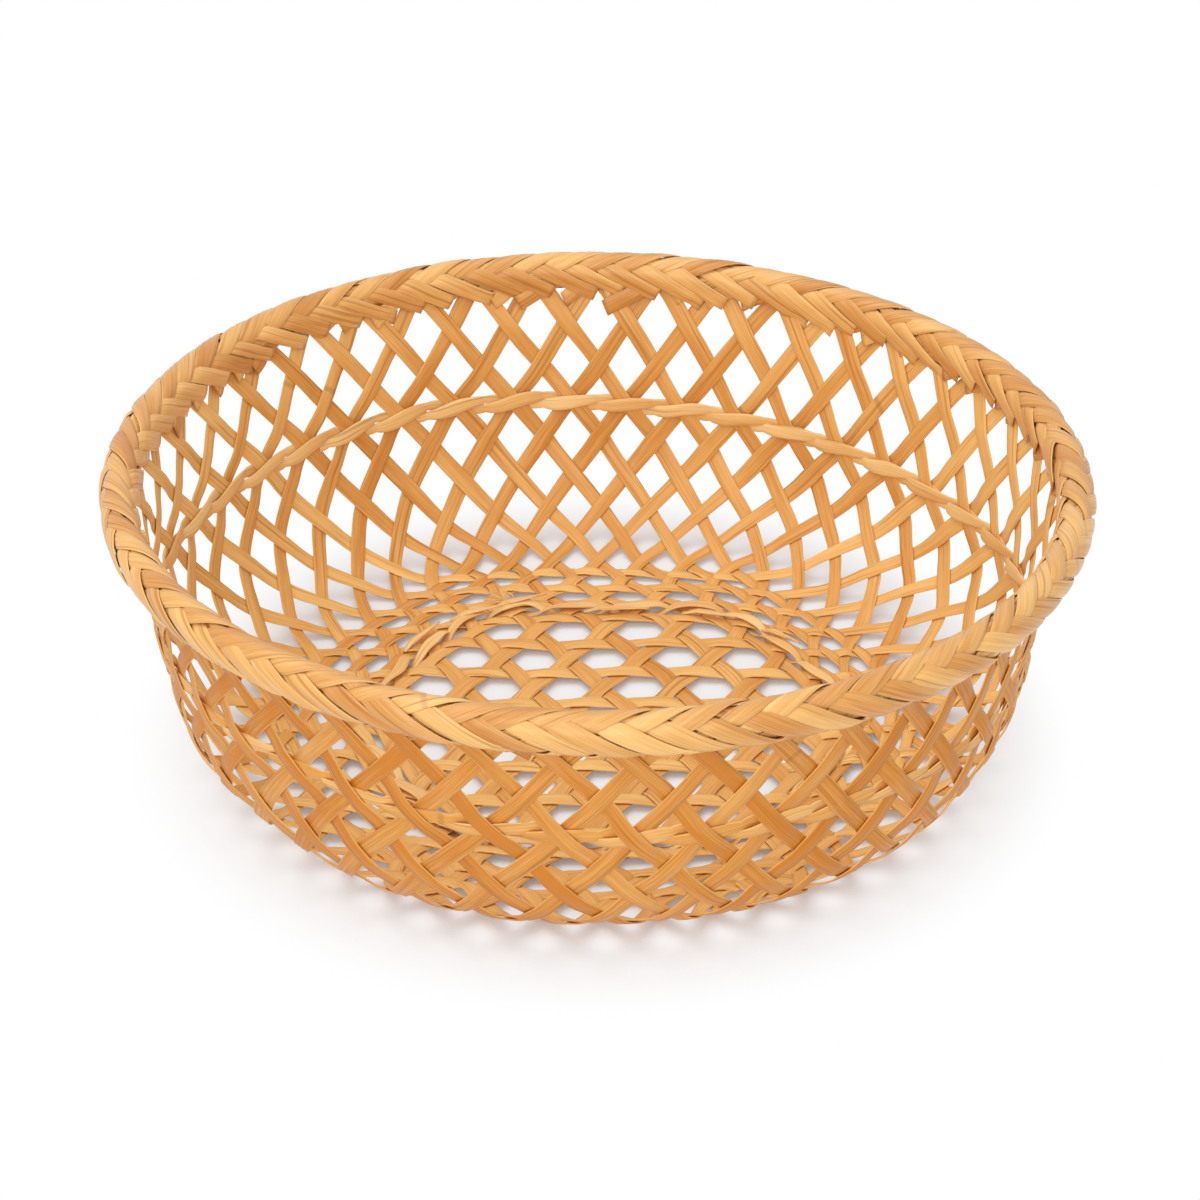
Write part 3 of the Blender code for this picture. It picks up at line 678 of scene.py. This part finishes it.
def loose_end(place, heading, length, width, rise, curl):
    """A tapered end that lies on the floor ring, bends by a curl and lifts by a square law.

    It starts at half its width and low, between the strips, is widest about a third of the way
    along, and narrows to a fifth at its tip.
    """
    share = np.linspace(0, 1, LOOSE_STATIONS)
    turn = heading + curl * share
    step = length / (LOOSE_STATIONS - 1)
    x = place[0] + np.cumsum(np.cos(turn)) * step
    y = place[1] + np.cumsum(np.sin(turn)) * step
    dip = LOOSE_DIP * (1 - smooth(share / LOOSE_DIP_END))
    z = STANDING + LOOSE_LEVEL + rise * share ** 2 - dip
    taper = (1 - 0.8 * ramp(share, LOOSE_WIDEST, 1 - LOOSE_WIDEST)
             - 0.5 * (1 - smooth(share / LOOSE_WIDEST)))
    across = STRIP_SECTION[:, 0] * (width * taper)[:, None]
    thickness = STRIP_SECTION[:, 1] * LOOSE_FLATNESS * width
    points = np.stack([x[:, None] - np.sin(turn)[:, None] * across,
                       y[:, None] + np.cos(turn)[:, None] * across,
                       z[:, None] + thickness + 0 * across], axis=-1)
    return hand_play(points), share * length, across


def floor_ring_places():
    """Arcs and azimuths of the crossings that the floor ring runs over."""
    arcs, azimuths = [], []
    for first_row, second_row in ((0, 3), (1, 2), (2, 1), (3, 0)):
        first = (first_row + 0.5) * MESH_SPACING
        second = (second_row + 0.5) * MESH_SPACING
        away = (second + first * math.cos(SIXTH)) / math.sin(SIXTH)
        outset = FLOOR_RING_CORNER if 0 in (first_row, second_row) else 0
        arcs.append(float(drawn_in(math.hypot(first, away))) + outset)
        azimuths.append(math.atan2(first, away))
    turns = np.repeat(np.arange(ENDS) * SIXTH, len(arcs))
    return np.tile(arcs, ENDS), np.tile(azimuths, ENDS) + turns


def rim_section():
    """Radius and height of the middle of the plait's oval section."""
    arc = END_ARC - HOOP_FOOT_DROP + SECTION_RISE
    radius, height, _ = bowl_outline(arc)
    return float(radius) + PLAIT_SHIFT, float(height) + STANDING


def section_turns(places, width, height):
    """Angles round an oval, from its top outwards, at given ways round it from the top."""
    turn = np.linspace(-math.pi, math.pi, SECTION_SAMPLES)
    way = np.concatenate([[0], np.cumsum(np.hypot(np.diff(width * np.sin(turn)),
                                                  np.diff(height * np.cos(turn))))])
    return np.interp(places, way - way[-1] / 2, turn)


def lean_out(sideways, upward):
    """Turns a place of the rim's section outwards by its lean, and puts it at the rim."""
    centre, level = rim_section()
    radius = centre + sideways * math.cos(PLAIT_LEAN) + upward * math.sin(PLAIT_LEAN)
    return radius, level + upward * math.cos(PLAIT_LEAN) - sideways * math.sin(PLAIT_LEAN)


def plait_strips(settings, seed):
    """Strips of two families that wrap slantwise round the rim, plaited over three under three.

    The rim's surface is unrolled to a band: x runs along the rim and y round its oval section.
    The first family climbs one way and the second the other. A strip lies on top or below by
    its place among the strips of the other family, as a smoothed square wave with a period of
    six. The middle of a strip is crowned, its outer end is tucked in under the rim and its
    inner one hangs a little below it.
    """
    random = np.random.default_rng(seed)
    count = settings.plait_count
    centre, _ = rim_section()
    pitch = 2 * math.pi * centre / count
    half_width, half_height = settings.plait_half_width, settings.plait_half_height
    family = np.repeat([1.0, -1.0], count)
    ends = random.normal(size=(2, 2 * count)) * PLAIT_PLAY["ends"] * MM
    ends += np.array(PLAIT_ENDS)[:, None]
    ends[0] -= random.gamma(*PLAIT_TIPS, 2 * count) * MM
    wrap = np.linspace(ends[0], ends[1], PLAIT_STATIONS, axis=1)[..., None]
    start = np.tile(np.arange(count), 2) * pitch
    start = start + random.normal(size=2 * count) * PLAIT_PLAY["starts"] * MM
    width = 1 + PLAIT_PLAY["width"] * random.normal(size=2 * count)
    width = settings.plait_strip_width * width
    across = STRIP_SECTION[:, 0] * width[:, None, None]
    climb = 1 + PLAIT_PLAY["slope"] * random.normal(size=2 * count)
    climb = math.tan(PLAIT_SLOPE) * climb[:, None, None]
    cosine, sine = math.cos(PLAIT_SLOPE), math.sin(PLAIT_SLOPE)
    family = family[:, None, None]
    middle = wrap - PLAIT_MIDDLE
    x = start[:, None, None] + family * middle / climb + across * sine
    y = wrap - family * across * cosine
    other = (x + family * (y - PLAIT_MIDDLE) / math.tan(PLAIT_SLOPE)) / pitch
    own = np.tile(np.arange(count), 2)[:, None, None]
    row = family * (other - own)
    phase = np.abs((row + PLAIT_FLOAT) % (2 * PLAIT_FLOAT) - PLAIT_FLOAT) - PLAIT_FLOAT / 2
    top = 1 - 2 * ramp(phase, -PLAIT_EASE, 2 * PLAIT_EASE)
    lift = -family * top * settings.plait_relief
    uneven = random.normal(size=2 * count)[:, None, None] * PLAIT_PLAY["lift"] * MM
    crown = PLAIT_CROWN * (1 - 4 * STRIP_SECTION[:, 0] ** 2)
    tuck_start, tuck_length, tuck_depth = PLAIT_TUCK
    tucked = ramp(y, tuck_start, tuck_length) * tuck_depth
    reach = lift + uneven + crown - tucked + STRIP_SECTION[:, 1] * settings.plait_thickness
    # an inner end goes straight on where the section turns under
    held = np.maximum(y, PLAIT_HANG)
    turn = section_turns(held, half_width, half_height)
    ahead = np.hypot(half_width * np.cos(turn), half_height * np.sin(turn))
    past = (y - held) / ahead
    sideways = (half_width + reach) * np.sin(turn) + past * half_width * np.cos(turn)
    upward = (half_height + reach) * np.cos(turn) - past * half_height * np.sin(turn)
    radius, height = lean_out(sideways, upward)
    azimuth = x / centre
    points = np.stack([radius * np.cos(azimuth), radius * np.sin(azimuth), height], axis=-1)
    run = (wrap[..., 0] - wrap[:, :1, 0]) / sine
    return hand_play(points), run, across, random.uniform(0, 1, 2 * count)


def hoop_skin(near, far):
    """A turned hoop: the piece of an oval between two upright cuts, carried round the rim.

    Ways out between the cuts follow the sine of an angle, the height is that of the oval and
    at least a fifth of its greatest, and the cuts close the outline.
    """
    width, height = HOOP_HALF_SIZE
    reach = np.linspace(-1.0, 1.0, HOOP_CORNERS)
    out = (near + far) / 2 + (far - near) / 2 * np.sin(reach * math.pi / 2)
    up = height * np.sqrt(np.maximum(1 - (out / width) ** 2, 0.04))
    sideways, upward = np.append(out, out[::-1]), np.append(up, -up[::-1])
    radius, level = lean_out(sideways, upward)
    azimuth = np.linspace(0, 2 * math.pi, HOOP_STATIONS, endpoint=False)[:, None]
    points = np.stack([radius * np.cos(azimuth), radius * np.sin(azimuth), level + 0 * azimuth],
                      axis=-1)
    return (hand_play(points), azimuth[:, 0] * rim_section()[0],
            np.broadcast_to(upward, points.shape[:2]))


class ZaruWeaveSettings(bpy.types.PropertyGroup):
    strip_width: FloatProperty(name="Strip Width", description="Width of the strips of the mesh",
                               default=5.4 * MM, unit='LENGTH')
    close_strip_width: FloatProperty(name="Close Strip Width",
                                     description="Width of the strips where the rows draw closer",
                                     default=4.7 * MM, unit='LENGTH')
    strip_thickness: FloatProperty(name="Strip Thickness", description="Thickness of a strip",
                                   default=0.62 * MM, unit='LENGTH')
    strip_air: FloatProperty(name="Air", description="Air between two strips that cross",
                             default=0.2 * MM, unit='LENGTH')
    waist_lift: FloatProperty(name="Lift at the Waist",
                              description="Way of a strip round the outside of the waist ring",
                              default=1.1 * MM, unit='LENGTH')
    light: StringProperty(name="Light Fibre", description="Hex colour of the pale fibres",
                          default="#FACB7E")
    dark: StringProperty(name="Dark Fibre", description="Hex colour of the ripe fibres",
                         default="#CC7D20")


class ZaruTwineSettings(bpy.types.PropertyGroup):
    twine_width: FloatProperty(name="Strand Width", description="Width of a strand at a crossing",
                               default=4.9 * MM, unit='LENGTH')
    twine_thickness: FloatProperty(name="Strand Thickness", description="Thickness of a strand",
                                   default=0.75 * MM, unit='LENGTH')
    twine_sway: FloatProperty(name="Sway", description="Way of a strand across the ring",
                              default=1.3 * MM, unit='LENGTH')
    light: StringProperty(name="Light Fibre", description="Hex colour of the pale fibres",
                          default="#FFDC9C")
    dark: StringProperty(name="Dark Fibre", description="Hex colour of the ripe fibres",
                         default="#DC9842")


class ZaruRimSettings(bpy.types.PropertyGroup):
    plait_count: IntProperty(name="Strips", description="Strips of each family of the plait",
                             default=74)
    plait_half_width: FloatProperty(name="Half Width",
                                    description="Half width of the plait's middle layer",
                                    default=4.6 * MM, unit='LENGTH')
    plait_half_height: FloatProperty(name="Half Height",
                                     description="Half height of the plait's middle layer",
                                     default=6.1 * MM, unit='LENGTH')
    plait_strip_width: FloatProperty(name="Strip Width", description="Width of a plait strip",
                                     default=5.25 * MM, unit='LENGTH')
    plait_thickness: FloatProperty(name="Strip Thickness",
                                   description="Thickness of a plait strip",
                                   default=0.55 * MM, unit='LENGTH')
    plait_relief: FloatProperty(name="Relief", description="Half the step between two layers",
                                default=0.5 * MM, unit='LENGTH')
    light: StringProperty(name="Light Fibre", description="Hex colour of the pale fibres",
                          default="#F6C377")
    dark: StringProperty(name="Dark Fibre", description="Hex colour of the ripe fibres",
                         default="#BE6F18")


class ZaruStageSettings(bpy.types.PropertyGroup):
    floor_colour: StringProperty(name="Floor", description="Hex colour of the floor",
                                 default="#F1F5F9")
    lamp_power: FloatProperty(name="Lamp", description="Power of the lamp above the basket",
                              default=8, unit='POWER')
    sky_strength: FloatProperty(name="Sky", description="Strength of the plain surround",
                                default=0.6)


class ZARU_OT_mesh_strips(bpy.types.Operator):
    """Weave the 42 strips of the floor mesh and the wall"""
    bl_idname = "zaru.mesh_strips"
    bl_label = "Mesh Strips"

    def execute(self, context):
        settings = context.scene.zaru_weave
        material = fibre_bamboo("shaved_bamboo_strip", settings.light, settings.dark, "#F0C27C",
                                roughness=0.46, gloss=0.05)
        courses = [strip_course(row) for row in range(STRIPS_PER_END)]
        for row, course in enumerate(courses):
            crossings = strip_crossings(courses, row)
            for turn, side in enumerate(SIDES):
                seed = STRIP_SEED + STRIPS_PER_END * turn + row
                points, run, across = woven_strip(course, crossings, turn, seed, settings)
                # the strips from side to side are the palest ones
                paler = PALER if turn % 3 == 0 else 0
                tone = np.random.default_rng(seed).uniform(paler, paler + TONE_SPREAD, 1)
                node = f"{side}_strip_{row + 1}"
                mesh = skin_mesh(f"{node}_woven", points[None], run[None], across[None], tone)
                add_piece(f"{node}_woven", mesh, material, "split_bamboo_strip", node)
        return {'FINISHED'}


class ZARU_OT_twined_rings(bpy.types.Operator):
    """Twine the floor ring and the waist ring"""
    bl_idname = "zaru.twined_rings"
    bl_label = "Twined Rings"

    def execute(self, context):
        settings = context.scene.zaru_twine
        material = fibre_bamboo("twined_bamboo_strand", settings.light, settings.dark, "#F4CB8A",
                                roughness=0.44, gloss=0.08)
        waist = (np.full(CROSSINGS_ROUND, WAIST_ARC), np.arange(CROSSINGS_ROUND) * STEP)
        for ring, (arcs, azimuths), heights in (
                ("floor_ring", floor_ring_places(), FLOOR_RING_LIFTS),
                ("waist_ring", waist, WAIST_RING_LIFTS)):
            for strand in (0, 1):
                seed = STRAND_SEED + 10 * strand
                points, run, across = twined_strand(arcs, azimuths, strand, heights, settings,
                                                    seed)
                node = f"{ring}_strand_{strand + 1}"
                mesh = skin_mesh(f"{node}_twined", points[None], run[None], across[None],
                                 np.array([STRAND_TONES[strand]]), closed=True)
                add_piece(f"{node}_twined", mesh, material, "twined_bamboo", node)
        parts = [loose_end(*end) for end in self.loose_ends(np.random.default_rng(LOOSE_SEED))]
        points, run, across = (np.stack(part) for part in zip(*parts))
        mesh = skin_mesh("floor_ring_loose_ends", points, run, across,
                         np.linspace(*LOOSE_TONES, len(parts)))
        add_piece("floor_ring_loose_ends", mesh, material, "twined_bamboo")
        return {'FINISHED'}

    @staticmethod
    def loose_ends(random):
        """Place, heading, length, width, rise and curl of strand ends and frayed fibres."""
        for x, y, heading, length in LOOSE_ENDS:
            yield (x * MM, y * MM), math.radians(heading), length * MM, *LOOSE_SHAPE
        for heading in random.uniform(120, 225, FRAYED_FIBRES):
            yield ((TUFT_PLACE[0] + random.normal() * MM, TUFT_PLACE[1] + random.normal() * MM),
                   math.radians(heading), random.uniform(6, 12) * MM, 0.5 * MM,
                   random.uniform(0, 4) * MM, random.uniform(-0.6, 0.6))


class ZARU_OT_rim(bpy.types.Operator):
    """Plait the rim over its two hoops"""
    bl_idname = "zaru.rim"
    bl_label = "Rim"

    def execute(self, context):
        settings = context.scene.zaru_rim
        material = fibre_bamboo("bamboo_skin_plait", settings.light, settings.dark, "#F7D08A",
                                roughness=0.36, gloss=0.35)
        points, run, across, tones = plait_strips(settings, PLAIT_SEED)
        mesh = skin_mesh("rim_plait_strips", points, run, across, tones)
        add_piece("rim_plait_strips", mesh, material, "plaited_bamboo", "rim_plait")
        for node, cuts in HOOP_CUTS.items():
            skin, around, up = hoop_skin(*cuts)
            hoop_material = fibre_bamboo(f"{node}_bamboo", "#E6A04A", "#B86C1E", "#E6A04A",
                                         roughness=0.5, gloss=0.02)
            mesh = hoop_mesh(f"{node}_turned", skin, around, up)
            add_piece(f"{node}_turned", mesh, hoop_material, "bamboo_hoop", node)
        return {'FINISHED'}


class ZARU_OT_stage(bpy.types.Operator):
    """Set up the pale floor, the soft light and the camera"""
    bl_idname = "zaru.stage"
    bl_label = "Stage"

    def execute(self, context):
        settings = context.scene.zaru_stage
        scene = context.scene
        scene.view_settings.view_transform = 'Standard'

        mesh = bpy.data.meshes.new("studio_floor")
        half = FLOOR_HALF_SIDE
        mesh.from_pydata([(-half, -half, 0), (half, -half, 0), (half, half, 0), (-half, half, 0)],
                         [], [(0, 1, 2, 3)])
        mesh.materials.append(self.floor_material(settings))
        floor = bpy.data.objects.new("studio_floor", mesh)
        scene.collection.objects.link(floor)

        world = bpy.data.worlds.new("plain_surround")
        world.use_nodes = True
        background = world.node_tree.nodes["Background"]
        background.inputs["Color"].default_value = hex_colour("#FFFFFF")
        seen = self.seen_ray(world.node_tree)
        strength = add_node(world.node_tree, "ShaderNodeMapRange",
                            {"Value": seen, "To Min": settings.sky_strength, "To Max": 1.0})
        world.node_tree.links.new(strength.outputs[0], background.inputs["Strength"])
        scene.world = world

        for title, (place, size, share) in LAMPS.items():
            data = bpy.data.lights.new(title, 'AREA')
            data.energy = settings.lamp_power * share
            data.size = size
            lamp = bpy.data.objects.new(title, data)
            lamp.location = place
            aim = Vector(LAMP_AIM) - lamp.location
            lamp.rotation_euler = aim.to_track_quat('-Z', 'Y').to_euler()
            scene.collection.objects.link(lamp)

        camera = bpy.data.objects.new("photo_camera", bpy.data.cameras.new("photo_camera"))
        camera.location = CAMERA_PLACE
        aim = Vector(CAMERA_AIM) - camera.location
        camera.rotation_euler = aim.to_track_quat('-Z', 'Y').to_euler()
        camera.data.lens = CAMERA_LENS
        camera.data.shift_x = CAMERA_SHIFT
        scene.collection.objects.link(camera)
        scene.camera = camera
        return {'FINISHED'}

    @staticmethod
    def seen_ray(tree):
        """1 where the camera, a reflection or a see-through surface looks, 0 for light."""
        path = add_node(tree, "ShaderNodeLightPath")
        glossy = add_node(tree, "ShaderNodeMath", {0: path.outputs["Is Camera Ray"],
                                                   1: path.outputs["Is Glossy Ray"]})
        return add_node(tree, "ShaderNodeMath", {0: glossy.outputs[0],
                                                 1: path.outputs["Is Transmission Ray"]},
                        use_clamp=True).outputs[0]

    def floor_material(self, settings):
        """Matt white paper, cut from the roll: even, dull and white, with a pale shadow."""
        material = bpy.data.materials.new("matt_paper_floor")
        material.use_nodes = True
        tree = material.node_tree
        shader = tree.nodes["Principled BSDF"]
        shader.inputs["Base Color"].default_value = hex_colour(settings.floor_colour)
        shader.inputs["Roughness"].default_value = 0.9
        shader.inputs["Specular IOR Level"].default_value = 0.1
        # the paper is lit and shaded round the basket and runs out into plain white
        place = add_node(tree, "ShaderNodeTexCoord").outputs["Object"]
        away = add_node(tree, "ShaderNodeVectorMath", {0: place}, operation='LENGTH')
        plain = add_node(tree, "ShaderNodeMapRange",
                         {"Value": away.outputs["Value"], "From Min": 0.105, "From Max": 0.152,
                          "To Min": 0.15, "To Max": 1.0}, interpolation_type='SMOOTHSTEP')
        share = add_node(tree, "ShaderNodeMath", {0: self.seen_ray(tree), 1: plain.outputs[0]},
                         operation='MULTIPLY')
        white = add_node(tree, "ShaderNodeEmission", {"Color": hex_colour("#FFFFFF")})
        paper = add_node(tree, "ShaderNodeMixShader", {0: share.outputs[0],
                                                       1: shader.outputs[0],
                                                       2: white.outputs[0]})
        tree.links.new(paper.outputs[0], tree.nodes["Material Output"].inputs["Surface"])
        return material


class ZARU_PT_panel(bpy.types.Panel):
    """Lists the pieces of the basket and their sizes"""
    bl_idname = "ZARU_PT_panel"
    bl_label = "Zaru Basket"
    bl_space_type = 'VIEW_3D'
    bl_region_type = 'UI'
    bl_category = "Zaru"

    def draw(self, context):
        for operator in OPERATORS:
            self.layout.operator(operator.bl_idname)
        for group in SETTINGS:
            settings = getattr(context.scene, group)
            box = self.layout.box()
            for title in settings.__annotations__:
                box.prop(settings, title)


OPERATORS = (ZARU_OT_mesh_strips, ZARU_OT_twined_rings, ZARU_OT_rim, ZARU_OT_stage)
SETTINGS = {"zaru_weave": ZaruWeaveSettings, "zaru_twine": ZaruTwineSettings,
            "zaru_rim": ZaruRimSettings, "zaru_stage": ZaruStageSettings}


def register():
    for item in (*SETTINGS.values(), *OPERATORS, ZARU_PT_panel):
        bpy.utils.register_class(item)
    for title, group in SETTINGS.items():
        setattr(bpy.types.Scene, title, PointerProperty(type=group))


def unregister():
    for title in SETTINGS:
        delattr(bpy.types.Scene, title)
    for item in reversed((*SETTINGS.values(), *OPERATORS, ZARU_PT_panel)):
        bpy.utils.unregister_class(item)


def main():
    register()
    for operator in OPERATORS:
        group, title = operator.bl_idname.split(".")
        getattr(getattr(bpy.ops, group), title)()


if __name__ == "__main__":
    main()
